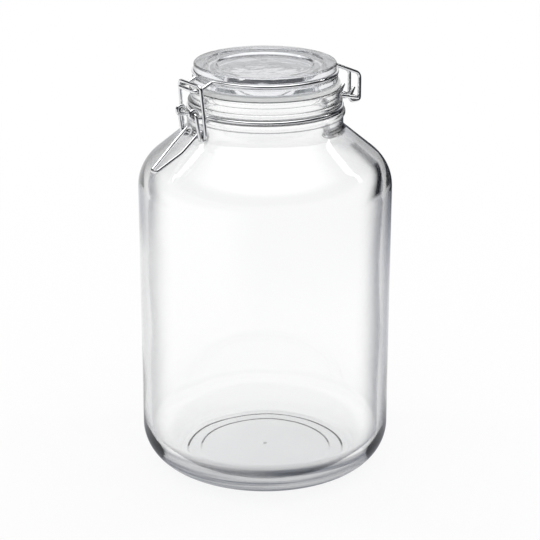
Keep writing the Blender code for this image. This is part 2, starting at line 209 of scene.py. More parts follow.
walls = between(room, height, WALL_FADE_FROM, WALL_FADE_TO, 1.0, CEILING_LEVEL)
walls = calc(room, "MULTIPLY", walls, side_level(room, axes["X"], axes["Y"]))
behind = between(room, off_angle(room, axes["X"], axes["Y"], pi), BEHIND_FULL, BEHIND_END, 1.0, 0.0)
behind = calc(room, "MULTIPLY", behind, between(room, height, BEHIND_FADE_FROM, BEHIND_FADE_TO, 1.0, 0.0))
overhead = between(room, height, OVERHEAD_FROM, OVERHEAD_FULL, 0.0, OVERHEAD_LEVEL)
in_metal = calc(room, "ADD", calc(room, "MAXIMUM", walls, behind), overhead)
box_foot = between(room, height, *(sin(a) for a in BOX_FOOT))
box_rise = calc(room, "MULTIPLY", box_foot, between(room, height, *(sin(a) for a in BOX_HEAD), 1.0, 0.0))
for low_angle, high_angle in BOX_ANGLES:
    lean = between(room, height, *(sin(a) for a in BOX_LEAN), low_angle, high_angle)
    box = between(room, off_angle(room, axes["X"], axes["Y"], lean), 0.0, BOX_HALF_WIDTH, BOX_LEVEL, 0.0)
    in_metal = calc(room, "ADD", in_metal, calc(room, "MULTIPLY", box, box_rise))

ray = put(room, "LightPath").outputs
even = put(room, "Background", {"Color": (*WHITE, 1.0), "Strength": EVEN_LIGHT})
through = put(room, "Background", {"Color": greyed(room, in_glass), "Strength": in_glass})
mirrored = put(room, "Background", {"Color": greyed(room, in_metal), "Strength": in_metal})
backdrop = put(room, "Background", {"Color": (*WHITE, 1.0), "Strength": 1.0})
shown = mixed(room, ray["Is Glossy Ray"], even, mirrored)
shown = mixed(room, ray["Is Transmission Ray"], shown, through)
shown = mixed(room, ray["Is Camera Ray"], shown, backdrop)
put(room, "OutputWorld", {"Surface": shown.outputs[0]})
print("room: lit from", round(degrees(LIT_FROM)), "to", round(degrees(LIT_TO)), "degrees round the jar")

# %% The floor
FLOOR_HALF = 5.0
SHADOW_SHARE, SHADOW_FROM, SHADOW_REACH = 0.15, 0.10, 0.90
POOL_FROM, POOL_REACH = 0.30, 0.65
NEAR_JAR_PAINTED_SHADOW, NEAR_FROM, NEAR_REACH = 0.35, 0.09, 0.16

floor_finish, tree = new_tree("pale floor")
where = put(tree, "TexCoord").outputs["Object"]
floor_axes = put(tree, "SeparateXYZ", {"Vector": where}).outputs
away = put(tree, "VectorMath", {0: where}, operation="LENGTH").outputs["Value"]
matt = put(tree, "BsdfDiffuse", {"Color": (0.93, 0.93, 0.93, 1.0)})
ray = put(tree, "LightPath").outputs
# Painted light on the floor, seen in reflections only: white near the jar, farther out lit on the room's lit side and
# dark elsewhere.
far = between(tree, away, POOL_FROM, POOL_REACH)
painted_light_and_shadow = put(tree, "Mix", {0: far, 2: 1.0, 3: side_level(tree, floor_axes["X"], floor_axes["Y"])}).outputs[0]
# Painted shadow: to reflections, the floor is darker close round the jar.
painted_light_and_shadow = calc(tree, "MULTIPLY", painted_light_and_shadow, between(tree, away, NEAR_FROM, NEAR_REACH, NEAR_JAR_PAINTED_SHADOW, 1.0))
painted_light_and_shadow = put(tree, "Mix", {0: ray["Is Glossy Ray"], 2: 1.0, 3: painted_light_and_shadow}).outputs[0]
painted_light_and_shadow = put(tree, "Mix", {0: ray["Is Transmission Ray"], 2: painted_light_and_shadow, 3: 1.0}).outputs[0]
glow = put(tree, "Emission", {"Color": greyed(tree, painted_light_and_shadow), "Strength": painted_light_and_shadow})
seen = calc(tree, "MAXIMUM", ray["Is Camera Ray"], ray["Is Glossy Ray"])
seen = calc(tree, "MAXIMUM", seen, ray["Is Transmission Ray"])
share = calc(tree, "MULTIPLY", between(tree, away, SHADOW_FROM, SHADOW_REACH, 1.0 - SHADOW_SHARE, 1.0), seen)
finished(tree, mixed(tree, share, matt, glow).outputs[0])

floor_mesh = bpy.data.meshes.new("studio_floor")
corners = [(-FLOOR_HALF, -FLOOR_HALF, 0.0), (FLOOR_HALF, -FLOOR_HALF, 0.0)]
corners += [(FLOOR_HALF, FLOOR_HALF, 0.0), (-FLOOR_HALF, FLOOR_HALF, 0.0)]
floor_mesh.from_pydata(corners, [], [(0, 1, 2, 3)])
floor_mesh.materials.append(floor_finish)
studio_floor = bpy.data.objects.new("studio_floor", floor_mesh)
bpy.context.scene.collection.objects.link(studio_floor)
print(f"floor: {2 * FLOOR_HALF:.0f} m square")

# %% The soft boxes
LAMP_DISTANCE, LAMP_WIDTH, LAMP_LEVEL = 0.95, 0.22, 3.0
LAMPS_AIM_AT = np.array([0.0, 0.0, 0.15])


def unit(v):
    """The same direction with length one, for one vector or for each row."""
    return v / np.linalg.norm(v, axis=-1, keepdims=True)


def soft_box(name, side_angle, low, high):
    """A tall lamp between two heights, at an angle round the jar from the camera, which faces the jar."""
    angle = CAMERA_AZIMUTH - pi / 2 + side_angle
    place = np.array([LAMP_DISTANCE * cos(angle), LAMP_DISTANCE * sin(angle), (low + high) / 2])
    backward = unit(place - LAMPS_AIM_AT)
    across = unit(np.cross([0.0, 0.0, 1.0], backward))
    facing = Matrix(np.column_stack([across, np.cross(backward, across), backward]).tolist())
    lamp = bpy.data.lights.new(name, "AREA")
    lamp.shape = "RECTANGLE"
    lamp.size = LAMP_WIDTH
    lamp.size_y = high - low
    lamp.energy = LAMP_LEVEL * pi * LAMP_WIDTH * (high - low)
    holder = bpy.data.objects.new(name, lamp)
    holder.matrix_world = Matrix.Translation(place) @ facing.to_4x4()
    holder.visible_camera = False
    holder.visible_glossy = False
    holder.visible_transmission = False
    bpy.context.scene.collection.objects.link(holder)
    print(f"{name}: {LAMP_WIDTH:.2f} x {high - low:.2f} m, {lamp.energy:.2f} W")


soft_box("right_soft_box", radians(106), 0.50, 1.30)
soft_box("left_soft_box", radians(-106), 0.45, 1.20)

# %% [markdown]
# ## Glass
#
# Moulded soda glass is clear, bends light by 1.52 and is a touch uneven. Edge on it gets a painted grey: painted
# shade that stands in for the darker surroundings which the glass shows at a low angle. On the jar this painted shade
# is strongest where the shoulder turns, in two dark bands, and is painted weaker on the side that the room lights.
# The thick heel has painted shade in grey streaks underneath, and the grooves round the wires have painted dark
# shade.
#
# A volume that swallows light along its way could give a grey as well. This painted tint on the surface grows
# towards the outline, renders without grain and lets each band be placed. Lamps shine through glass by
# a second, clear shader for shadow rays, since the path tracer would otherwise leave the jar's inside dark.

# %% The tint of glass
# Where the glass's painted shade lies, and the colours of the painted shade under the heel and in the crevices.
SHOULDER_FROM, SHOULDER_FULL = 0.10, 0.15
NECK_ROOT, ROOT_CLEAR, ROOT_FULL = 0.2295, 0.004, 0.008
SIDE_FROM, SIDE_TO = -0.06, 0.03
HEEL_PAINTED_SHADE, PAINTED_CREVICE_SHADE = (0.049, 0.055, 0.072), (0.02, 0.021, 0.023)
CREVICE_REACH = 0.0022
STREAK_GRAIN = (9.0, 9.0, 420.0)


def turning_shade(tree, facing, up, z, unlit):
    """How far the wall turns over into the shoulder, and the two bands of painted shade there, one inside the other.

    Facing is 0 where the glass is seen square on and 1 at the outline, up is the upward part of its normal, and
    the outer band lies along the outline.
    """
    turning = calc(tree, "MULTIPLY", between(tree, up, 0.06, 0.22), between(tree, up, 0.72, 0.95, 1.0, 0.0))
    turning = calc(tree, "MULTIPLY", turning, between(tree, z, SHOULDER_FROM, SHOULDER_FULL))
    from_root = calc(tree, "ABSOLUTE", calc(tree, "SUBTRACT", z, NECK_ROOT))
    turning = calc(tree, "MULTIPLY", turning, between(tree, from_root, ROOT_CLEAR, ROOT_FULL))
    moved = calc(tree, "SUBTRACT", facing, between(tree, up, 0.25, 0.77, 0.0, 0.12))
    inner = calc(tree, "MULTIPLY", between(tree, moved, 0.38, 0.50), between(tree, moved, 0.545, 0.61, 1.0, 0.35))
    inner = calc(tree, "MULTIPLY", inner, unlit)
    return turning, calc(tree, "MAXIMUM", between(tree, moved, 0.60, 0.70), inner)


def jar_painted_shade(tree, where, up, z, tint, heel):
    """Painted shade on the jar: dark streaks under the heel, below a height, and darkness by ambient occlusion in the
    crevices beside the wires.
    """
    flat = put(tree, "Mapping", {"Vector": where, "Scale": STREAK_GRAIN}).outputs["Vector"]
    streaks = between(tree, speckle(tree, flat, 1.0, 3.0), 0.35, 0.65, 0.6, 1.0)
    low = between(tree, z, 0.8 * heel, heel, 1.0, 0.0)
    under = calc(tree, "MULTIPLY", low, between(tree, up, -0.06, 0.02, 1.0, 0.0))
    tint = tinted(tree, calc(tree, "MULTIPLY", under, streaks), tint, HEEL_PAINTED_SHADE)
    # Painted shade: the glass's colour goes near black where wires or the glass itself close it in.
    open_sides = put(tree, "AmbientOcclusion", {"Distance": CREVICE_REACH}, samples=4).outputs["AO"]
    return tinted(tree, between(tree, open_sides, 0.32, 0.68), PAINTED_CREVICE_SHADE, tint)

# %% Glass finish
def glass_finish(name, face, edge, edge_from, edge_to, ripple, heel=0.0):
    """Clear glass: its tint seen face on, its painted shade edge on, the depth of its ripples, and the height of a
    thick heel.
    """
    material, tree = new_tree(name)
    coords = put(tree, "TexCoord").outputs
    where = coords["Object"]
    z = put(tree, "SeparateXYZ", {"Vector": where}).outputs["Z"]
    up = put(tree, "SeparateXYZ", {"Vector": coords["Normal"]}).outputs["Z"]
    facing = put(tree, "LayerWeight", {"Blend": 0.5}).outputs["Facing"]

    # Painted light: the edge shade is weaker on the side of the jar that faces the room's lit side, below the
    # shoulder.
    dark_side = (cos(DARK_WAY), sin(DARK_WAY), 0.0)
    side = put(tree, "VectorMath", {0: where, 1: dark_side}, operation="DOT_PRODUCT").outputs["Value"]
    # Painted shade: the glass's colour greys towards the outline, less on faces that look down.
    not_under = between(tree, up, -0.6, -0.2, 0.25, 1.0)
    painted_edge_shade = calc(tree, "MULTIPLY", between(tree, facing, edge_from, edge_to), not_under)
    unlit = calc(tree, "MAXIMUM", between(tree, side, SIDE_FROM, SIDE_TO, 0.6, 1.0), between(tree, z, 0.11, 0.18))
    painted_edge_shade = calc(tree, "MULTIPLY", painted_edge_shade, unlit)
    turning, bands = turning_shade(tree, facing, up, z, between(tree, side, SIDE_FROM, SIDE_TO, 0.4, 1.0))
    painted_edge_shade = calc(tree, "MAXIMUM", painted_edge_shade, calc(tree, "MULTIPLY", bands, turning))
    # Painted shade: in the shoulder's turn the edge colour goes almost black.
    tint = tinted(tree, painted_edge_shade, face, tinted(tree, turning, edge, tuple(0.03 * c for c in edge)))
    if heel:
        tint = jar_painted_shade(tree, where, up, z, tint, heel)

    relief = calc(tree, "MULTIPLY", speckle(tree, where, 900.0, 1.0), 0.04)
    relief = calc(tree, "ADD", relief, speckle(tree, where, 38.0, 1.0))
    normal = put(tree, "Bump", {"Strength": 1.0, "Distance": ripple, "Height": relief}).outputs["Normal"]
    smear = between(tree, speckle(tree, where, 22.0), 0.45, 0.75, 0.0, 0.025)
    shader = put(tree, "BsdfPrincipled", {
        "Base Color": tint, "Roughness": smear, "IOR": 1.52, "Transmission Weight": 1.0, "Normal": normal,
    })
    shade = tinted(tree, facing, (0.96, 0.97, 0.97), (0.45, 0.47, 0.48))
    clear = put(tree, "BsdfTransparent", {"Color": shade})
    ray = put(tree, "LightPath").outputs
    passes = calc(tree, "MAXIMUM", ray["Is Shadow Ray"], ray["Is Diffuse Ray"])
    finished(tree, mixed(tree, passes, shader, clear).outputs[0])
    return material


jar_glass = glass_finish(
    "jar_glass_finish", face=(0.998, 0.999, 0.999), edge=(0.070, 0.078, 0.102),
    edge_from=0.42, edge_to=0.82, ripple=0.00003, heel=0.028,
)
lid_glass = glass_finish(
    "lid_glass_finish", face=(0.937, 0.944, 0.966), edge=(0.027, 0.031, 0.045),
    edge_from=0.60, edge_to=0.97, ripple=0.00006,
)

# %% [markdown]
# ## Steel and rubber
#
# The wires are drawn steel: fine scratches run along the wire and not round it, so their pattern is stretched
# along the length of each wire's own map. A pattern on the object's own axes would cut across every bend. Steel
# also has painted shade: it is darker where another wire or the glass is close beside it. The sealing ring is milky
# rubber that lets a little light through, which takes some scattering under its surface besides some clear passage.

# %% Steel finish
def steel_finish(name, tone):
    """Drawn steel: streaks along the wire in tone, polish and relief, a few dull spots, and painted shade where
    something is close.
    """
    material, tree = new_tree(name)
    along = put(tree, "TexCoord").outputs["UV"]
    where = put(tree, "TexCoord").outputs["Object"]
    stretched = put(tree, "Mapping", {"Vector": along, "Scale": (0.35, 26.0, 1.0)}).outputs["Vector"]
    streaks = speckle(tree, stretched, 1.0, 4.0)
    spots = speckle(tree, where, 260.0, 3.0)
    metal = tinted(tree, streaks, tuple(tone * c for c in (0.78, 0.79, 0.81)), (tone, tone, tone))
    # Painted shade: the steel's colour darkens towards grey where another wire or the glass is close beside it.
    open_sides = put(tree, "AmbientOcclusion", {"Distance": 0.003}, samples=6).outputs["AO"]
    open_sides = between(tree, open_sides, 0.25, 0.75)
    metal = tinted(tree, open_sides, (0.20, 0.205, 0.215), metal)
    dull = between(tree, spots, 0.45, 0.8, 0.13, 0.30)
    normal = put(tree, "Bump", {"Strength": 0.5, "Distance": 0.00002, "Height": streaks}).outputs["Normal"]
    shader = put(tree, "BsdfPrincipled", {
        "Base Color": metal, "Metallic": 1.0, "Roughness": dull, "Normal": normal,
    })
    finished(tree, shader.outputs[0])
    return material


wire_steel = steel_finish("wire_steel_finish", 0.92)

# %% Rubber finish
def rubber_finish(name):
    """Milky rubber: soft scattered light, a satin face and a faint moulded grain."""
    material, tree = new_tree(name)
    where = put(tree, "TexCoord").outputs["Object"]
    clouds = speckle(tree, where, 60.0, 3.0)
    grain = speckle(tree, where, 1500.0, 2.0)
    tone = tinted(tree, clouds, (0.90, 0.91, 0.90), (0.97, 0.975, 0.97))
    dull = between(tree, clouds, 0.3, 0.7, 0.34, 0.46)
    normal = put(tree, "Bump", {"Strength": 0.4, "Distance": 0.00004, "Height": grain}).outputs["Normal"]
    shader = put(tree, "BsdfPrincipled", {
        "Base Color": tone, "Roughness": dull, "IOR": 1.42, "Transmission Weight": 0.25,
        "Subsurface Weight": 0.4, "Subsurface Radius": (0.003, 0.003, 0.003), "Normal": normal,
    })
    finished(tree, shader.outputs[0])
    return material


clear_rubber = rubber_finish("clear_rubber_finish")

# %% [markdown]
# ## Outlines with rounded corners
#
# Turned glass and bent wire are both drawn as corners, each with the radius that rounds it, as a maker's drawing
# gives them. A Bevel modifier could round them later, but it knows nothing of the path that a wire takes. An arc
# gets more points where it is large, so that a wide shoulder and a small lip come out equally smooth.

# %% Rounded paths
def bend(before, corner, after, radius, chord=0.0009, most=radians(12)):
    """The arc that touches both sides of a corner: a circle of the bend's radius about a centre on their bisector."""
    a, b = unit(before - corner), unit(after - corner)
    opening = acos(np.clip(a @ b, -1.0, 1.0))
    swing = pi - opening
    if radius == 0.0 or swing < radians(1.0):
        return corner[None]
    middle = unit(a + b)
    across = unit(b - (b @ middle) * middle)
    centre = corner + middle * radius / sin(opening / 2)
    count = ceil(max(swing * radius / chord, swing / most))
    angle = np.linspace(-swing / 2, swing / 2, count + 1)[:, None]
    return centre + radius * (across * np.sin(angle) - middle * np.cos(angle))


def rounded(corners, **fineness):
    """A path through (point, bend radius) corners; both ends stay as they are."""
    points = [np.array(p, float) for p, _ in corners]
    arcs = [
        bend(before, corner, after, radius, **fineness)
        for before, (_, radius), corner, after in zip(points, corners[1:-1], points[1:], points[2:])
    ]
    return np.vstack([points[0][None], *arcs, points[-1][None]])


def divided(path, longest):
    """The same path with every long straight run cut into equal steps, none longer than asked."""
    runs = np.linalg.norm(np.diff(path, axis=0), axis=1)
    cuts = np.maximum(1, np.ceil(runs / longest)).astype(int)
    start = np.repeat(np.arange(len(runs)), cuts)
    step = np.arange(len(start)) - np.repeat(np.cumsum(cuts) - cuts, cuts)
    share = (step / cuts[start])[:, None]
    return np.vstack([path[start] * (1 - share) + path[start + 1] * share, path[-1:]])

# %% [markdown]
# ## Turned pieces
#
# The jar and the lid are round, so each is its outline carried round the Z axis. The Screw modifier does the same,
# but a grid of points worked out here can be made a little uneven in the same step. The grid has one row for each
# point of the outline and one column for each angle. Where the outline starts and ends on the axis, each end
# row becomes one single point, so the piece is a closed body without holes.

# %% Turning an outline
def new_piece(name, points, faces, material, body, node, uv=None):
    """A mesh object that stands for a CAD node and rides on its body."""
    mesh = bpy.data.meshes.new(name)
    mesh.from_pydata(points, [], faces)
    mesh.polygons.foreach_set("use_smooth", np.ones(len(mesh.polygons), bool))
    mesh.materials.append(material)
    if uv is not None:
        layer = mesh.uv_layers.new(name="along_the_wire")
        layer.data.foreach_set("uv", uv.ravel())
    mesh.update()
    piece = bpy.data.objects.new(name, mesh)
    bpy.context.scene.collection.objects.link(piece)
    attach(piece, body)
    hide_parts(node)
    triangles = sum(len(f) - 2 for f in faces)
    print(f"{name}: {len(points)} points, {triangles} triangles, stands for {node}")


def tube_faces(rows, sides):
    """The quads of a grid that closes round, and a fan of triangles to each of two end points listed after it."""
    i, j = np.meshgrid(np.arange(rows - 1), np.arange(sides), indexing="ij")
    k = (j + 1) % sides
    quads = np.stack([i * sides + j, i * sides + k, (i + 1) * sides + k, (i + 1) * sides + j], axis=-1)
    ring = np.arange(sides)
    after = (ring + 1) % sides
    top = (rows - 1) * sides
    low = np.stack([np.full(sides, rows * sides), after, ring], axis=-1)
    high = np.stack([top + ring, top + after, np.full(sides, rows * sides + 1)], axis=-1)
    return quads.reshape(-1, 4), low, high


def turned(outline, sides, uneven=None):
    """Points (r cos t, r sin t, z) for each outline point (r, z) and each angle t, with a point at either pole."""
    angle = np.arange(sides) * 2 * pi / sides
    r, z = outline[1:-1, 0:1], outline[1:-1, 1:2]
    if uneven is not None:
        r, z = uneven(r, z, angle)
    grid = np.stack(np.broadcast_arrays(r * np.cos(angle), r * np.sin(angle), z), axis=-1)
    points = np.vstack([grid.reshape(-1, 3), [[0, 0, outline[0, 1]], [0, 0, outline[-1, 1]]]])
    return points, *tube_faces(len(grid), sides)


def enclosed(points, faces):
    """The signed volume inside closed faces: the sum of the tetrahedra from the origin to each triangle."""
    total = 0.0
    for group in faces:
        for a, b in zip(range(1, group.shape[1] - 1), range(2, group.shape[1])):
            p, q, r = points[group[:, 0]], points[group[:, a]], points[group[:, b]]
            total += np.einsum("ij,ij->", p, np.cross(q, r)) / 6
    return total


def outward(points, faces):
    """The faces in one list, all turned over if the body they close is inside out."""
    flip = -1 if enclosed(points, faces) < 0 else 1
    print(f"  volume {abs(enclosed(points, faces)) * 1e6:.1f} cm3")
    return [face[::flip] for group in faces for face in group.tolist()]

# %% [markdown]
# ## The jar
#
# The outline runs from the middle of the inside floor up the wall, over the mouth and down the outside to the foot
# ring and the hollow under the base, which has two low steps. Inside and outside are one outline, so the wall's
# thickness is drawn and not added by a Solidify modifier, which would make it the same everywhere.
#
# A jar is blown against a mould on the outside only, so its inner wall is left a little wavy. The waves here are a
# fifth of a millimetre deep and give the reflections their wobble.

# %% Jar sizes
JAR_RADIUS, JAR_HEIGHT, JAR_WALL = 0.0823, 0.2561, 0.0060
FLOOR_THICKNESS, HEEL_RADIUS, FOOT_WIDTH = 0.0051, 0.0250, 0.0040
INNER_HEEL = 0.0222
BASE_RING_RISE, BASE_RING_SLOPE = 0.0005, 0.0015
PUSH_UP_RADIUS, PUSH_UP_SLOPE, PUSH_UP = 0.0445, 0.0014, 0.0009
SHOULDER_RADIUS, SHOULDER_SLOPE = 0.0266, radians(39.6)
MOUTH_RADIUS, MOUTH_WALL = 0.0402, 0.0083
RIM_HEIGHT, RIM_PROUD = 0.0036, 0.0008
NECK_HEIGHT, NECK_ROOT_FLARE = 0.0265, 0.0017
NECK_ROOT_BEND, BORE_BEND = 0.0060, 0.0150
WIRE_RADIUS, SEAT_GAP = 0.0012, 0.0003
NECK_WIRE_Z = JAR_HEIGHT - 0.0125
UPPER_BEAD_RADIUS, UPPER_BEAD_PROUD = 0.0016, 0.0018
LOWER_BEAD_RADIUS, LOWER_BEAD_PROUD = 0.0021, 0.0037
WAVES_FROM, WAVES_TO, WAVE_DEPTH = 0.012, 0.232, 0.00008
NECK_WALL_FROM = 0.225
FLOOR_RIPPLE, LID_RIPPLE = 0.00004, 0.00003
RIM_RADIUS = MOUTH_RADIUS + MOUTH_WALL
NECK_RADIUS = RIM_RADIUS - RIM_PROUD
NECK_ROOT_RADIUS = RIM_RADIUS + NECK_ROOT_FLARE
print(f"jar {2000 * JAR_RADIUS:.1f} mm across and {1000 * JAR_HEIGHT:.1f} mm high")
print(f"mouth rim {2000 * RIM_RADIUS:.1f} mm across")

# %% Jar outline
def jar_outline():
    """The jar's (radius, height) outline, from the inside floor's middle to the middle underneath."""
    root_z = JAR_HEIGHT - NECK_HEIGHT
    rise = tan(SHOULDER_SLOPE)
    inner = JAR_RADIUS - JAR_WALL
    drop = JAR_WALL / cos(SHOULDER_SLOPE)
    foot = JAR_RADIUS - HEEL_RADIUS - FOOT_WIDTH
    floor_z = PUSH_UP + FLOOR_THICKNESS
    lip_z = JAR_HEIGHT - RIM_HEIGHT
    lower_z = NECK_WIRE_Z - WIRE_RADIUS - 2 * SEAT_GAP - LOWER_BEAD_RADIUS
    upper_z = NECK_WIRE_Z + WIRE_RADIUS + 2 * SEAT_GAP + UPPER_BEAD_RADIUS
    upper, lower = NECK_RADIUS + UPPER_BEAD_PROUD, NECK_RADIUS + LOWER_BEAD_PROUD
    corners = [
        (0.0, floor_z + 0.0005, 0.0),
        (0.0016, floor_z, 0.0010),
        (inner, floor_z, INNER_HEEL),
        (inner, root_z - (inner - NECK_ROOT_RADIUS) * rise - drop, SHOULDER_RADIUS - JAR_WALL),
        (MOUTH_RADIUS, root_z + (NECK_ROOT_RADIUS - MOUTH_RADIUS) * rise - drop, BORE_BEND),
        (MOUTH_RADIUS, JAR_HEIGHT, 0.0012),
        (RIM_RADIUS, JAR_HEIGHT, 0.0012),
        (RIM_RADIUS, lip_z, 0.0006),
        (NECK_RADIUS, lip_z, 0.0003),
        (NECK_RADIUS, upper_z + UPPER_BEAD_RADIUS, 0.0004),
        (upper, upper_z + UPPER_BEAD_RADIUS, 0.0012),
        (upper, upper_z - UPPER_BEAD_RADIUS, 0.0012),
        (NECK_RADIUS, upper_z - UPPER_BEAD_RADIUS, 0.0002),
        (NECK_RADIUS, lower_z + LOWER_BEAD_RADIUS, 0.0004),
        (lower, lower_z + LOWER_BEAD_RADIUS, 0.0019),
        (lower, lower_z - LOWER_BEAD_RADIUS, 0.0016),
        (NECK_ROOT_RADIUS, lower_z - LOWER_BEAD_RADIUS, 0.0006),
        (NECK_ROOT_RADIUS, root_z, NECK_ROOT_BEND),
        (JAR_RADIUS, root_z - (JAR_RADIUS - NECK_ROOT_RADIUS) * rise, SHOULDER_RADIUS),
        (JAR_RADIUS, 0.0, HEEL_RADIUS),
        (foot, 0.0, 0.0010),
        (foot - BASE_RING_SLOPE, BASE_RING_RISE, 0.0010),
        (PUSH_UP_RADIUS, BASE_RING_RISE, 0.0010),
        (PUSH_UP_RADIUS - PUSH_UP_SLOPE, PUSH_UP, 0.0010),
        (0.0, PUSH_UP, 0.0),
    ]
    return divided(rounded([((r, z), f) for r, z, f in corners]), 0.0050)


def blown_wall(r, z, angle):
    """Moves the inner wall in and out by a sum of slow waves round the jar and up it, fading out at the mouth."""
    inside = (r < JAR_RADIUS - JAR_WALL + 0.0001) & (z > WAVES_FROM) & (z < WAVES_TO)
    outside_neck = (r > MOUTH_RADIUS + 0.001) & (z > NECK_WALL_FROM)
    fade = np.clip((z - WAVES_FROM) / 0.02, 0, 1) * np.clip((WAVES_TO - z) / 0.01, 0, 1)
    fade = np.where(inside & ~outside_neck, fade, 0)
    waves = (
        np.sin(3 * angle + 21 * z) + 0.7 * np.sin(5 * angle - 47 * z + 1.3)
        + 0.5 * np.sin(8 * angle + 75 * z + 0.4) + 0.4 * np.sin(2 * angle + 130 * z + 2.1)
    )
    return r + WAVE_DEPTH * fade * waves

# %% The jar
profile = jar_outline()
inner_part = np.arange(len(profile)) < np.argmax(profile[:, 1])


def jar_wall(r, z, angle):
    """The blown wall's waves and the pressed floor's faint ripples, both on the inner rows alone."""
    inner = inner_part[1:-1, None]
    pressed = np.clip((0.05 - r) / 0.01, 0, 1) * (z < 0.02)
    ripples = np.sin(700 * r) + 0.6 * np.sin(1150 * r + 2 * angle) + 0.5 * np.sin(3 * angle + 300 * r)
    return np.where(inner, blown_wall(r, z, angle), r), z + inner * (FLOOR_RIPPLE * pressed * ripples)


points, *faces = turned(profile, 256, jar_wall)
new_piece("jar_glass_body", points, outward(points, faces), jar_glass, "jar", "jar_body")

# %% [markdown]
# ## The lid
#
# The lid is pressed glass too: a sunk panel inside a step and a rim, a groove outside that holds the hoop wire, a
# flange over the rubber, and a plug below that keeps the ring in the middle of the mouth. It is turned as the jar
# is, with finer arcs, because its small steps bend the light most.

# %% Lid sizes
GASKET_THICKNESS = 0.0028
LID_SEAT_Z = JAR_HEIGHT + GASKET_THICKNESS + 2 * SEAT_GAP
LID_TOP_Z = LID_SEAT_Z + 0.0122
FLANGE_RADIUS = RIM_RADIUS - 0.0020
FLANGE_Z = LID_SEAT_Z + 0.0045
LID_RIM_RADIUS = FLANGE_RADIUS - 0.0010
LID_STEP_RADIUS = LID_RIM_RADIUS - 0.0087
LID_PANEL_RADIUS = LID_STEP_RADIUS - 0.0068
STEP_Z, PANEL_Z = LID_TOP_Z - 0.0012, LID_TOP_Z - 0.0028
PLUG_RADIUS = MOUTH_RADIUS - 0.0012
PLUG_Z = LID_SEAT_Z - 0.0050
HOOP_Z = FLANGE_Z + 0.0005 + WIRE_RADIUS
HOOP_GROOVE = LID_RIM_RADIUS - WIRE_RADIUS
HOOP_RING = HOOP_GROOVE + SEAT_GAP + WIRE_RADIUS
print(f"lid rim {2000 * LID_RIM_RADIUS:.1f} mm across, top at {1000 * LID_TOP_Z:.1f} mm")

# %% The lid
def lid_outline():
    """The lid's outline, from the middle of the panel over the rim and down to the middle of the recess."""
    rim_z = HOOP_Z + WIRE_RADIUS + SEAT_GAP
    recess_z = PANEL_Z - 0.0052
    recess = PLUG_RADIUS - 0.0040
    corners = [
        (0.0, PANEL_Z, 0.0),
        (LID_PANEL_RADIUS, PANEL_Z, 0.0012),
        (LID_PANEL_RADIUS + 0.0016, STEP_Z, 0.0016),
        (LID_STEP_RADIUS, STEP_Z, 0.0012),
        (LID_STEP_RADIUS + 0.0014, LID_TOP_Z, 0.0016),
        (LID_RIM_RADIUS, LID_TOP_Z, 0.0014),
        (LID_RIM_RADIUS, rim_z, 0.0004),
        (HOOP_GROOVE, rim_z, 0.0003),
        (HOOP_GROOVE, FLANGE_Z, 0.0002),
        (FLANGE_RADIUS, FLANGE_Z, 0.0010),
        (FLANGE_RADIUS, LID_SEAT_Z, 0.0010),
        (PLUG_RADIUS, LID_SEAT_Z, 0.0003),
        (PLUG_RADIUS, PLUG_Z, 0.0010),
        (recess, PLUG_Z, 0.0010),
        (recess - 0.0025, recess_z, 0.0040),
        (0.0, recess_z, 0.0),
    ]
    return divided(rounded([((r, z), f) for r, z, f in corners], chord=0.0004), 0.0025)


def pressed_lid(r, z, angle):
    """A pressed face is never quite flat: slow waves of a few hundredths of a millimetre over the sunk panel."""
    panel = np.clip((LID_PANEL_RADIUS - r) / 0.004, 0, 1) * (z > PANEL_Z - 0.0005)
    waves = (
        np.sin(520 * r + 3 * angle) + 0.8 * np.sin(900 * r - 5 * angle + 1.0) + 0.6 * np.sin(11 * angle + 640 * r)
    )
    return r, z + LID_RIPPLE * panel * waves


points, *faces = turned(lid_outline(), 256, pressed_lid)
new_piece("lid_glass_disc", points, outward(points, faces), lid_glass, "lid", "jar_lid")

# %% [markdown]
# ## The sealing ring
#
# The rubber is a flat ring with rounded edges and shallow moulded grooves round both faces. It could be a torus
# squashed flat, but then its edges would be much too round. So its section is a flattened oval. The outline
# closes on itself, so the grid closes both ways, as a doughnut's does.

# %% The sealing ring
GASKET_LOW, GASKET_HIGH = JAR_HEIGHT + SEAT_GAP, JAR_HEIGHT + SEAT_GAP + GASKET_THICKNESS
GASKET_INNER, GASKET_OUTER = PLUG_RADIUS + SEAT_GAP, RIM_RADIUS - 0.0005


def ring_outline(count=96):
    """A flat oval |u|^6 + |v|^6 = 1 in the ring's section, with three shallow grooves in each face."""
    t = np.arange(count) * 2 * pi / count
    oval = (np.abs(np.cos(t)) ** 6 + np.abs(np.sin(t)) ** 6) ** (-1 / 6)
    u, v = oval * np.cos(t), oval * np.sin(t)
    half_width, half_height = (GASKET_OUTER - GASKET_INNER) / 2, (GASKET_HIGH - GASKET_LOW) / 2
    groove = 0.08 * (0.5 + 0.5 * np.cos(3 * pi * u)) * (np.abs(u) < 0.9)
    return np.column_stack([
        (GASKET_INNER + GASKET_OUTER) / 2 + half_width * u,
        (GASKET_LOW + GASKET_HIGH) / 2 + half_height * v * (1 - groove),
    ])


def closed_turn(outline, sides):
    """A grid that closes round the axis and round its own section."""
    angle = np.arange(sides) * 2 * pi / sides
    r, z = outline[:, 0:1], outline[:, 1:2]
    grid = np.stack(np.broadcast_arrays(r * np.cos(angle), r * np.sin(angle), z), axis=-1)
    i, j = np.meshgrid(np.arange(len(outline)), np.arange(sides), indexing="ij")
    k, m = (i + 1) % len(outline), (j + 1) % sides
    quads = np.stack([i * sides + j, i * sides + m, k * sides + m, k * sides + j], axis=-1)
    return grid.reshape(-1, 3), quads.reshape(-1, 4)


points, quads = closed_turn(ring_outline(), 256)
new_piece("sealing_ring", points, outward(points, [quads]), clear_rubber, "lid", "lid_gasket")

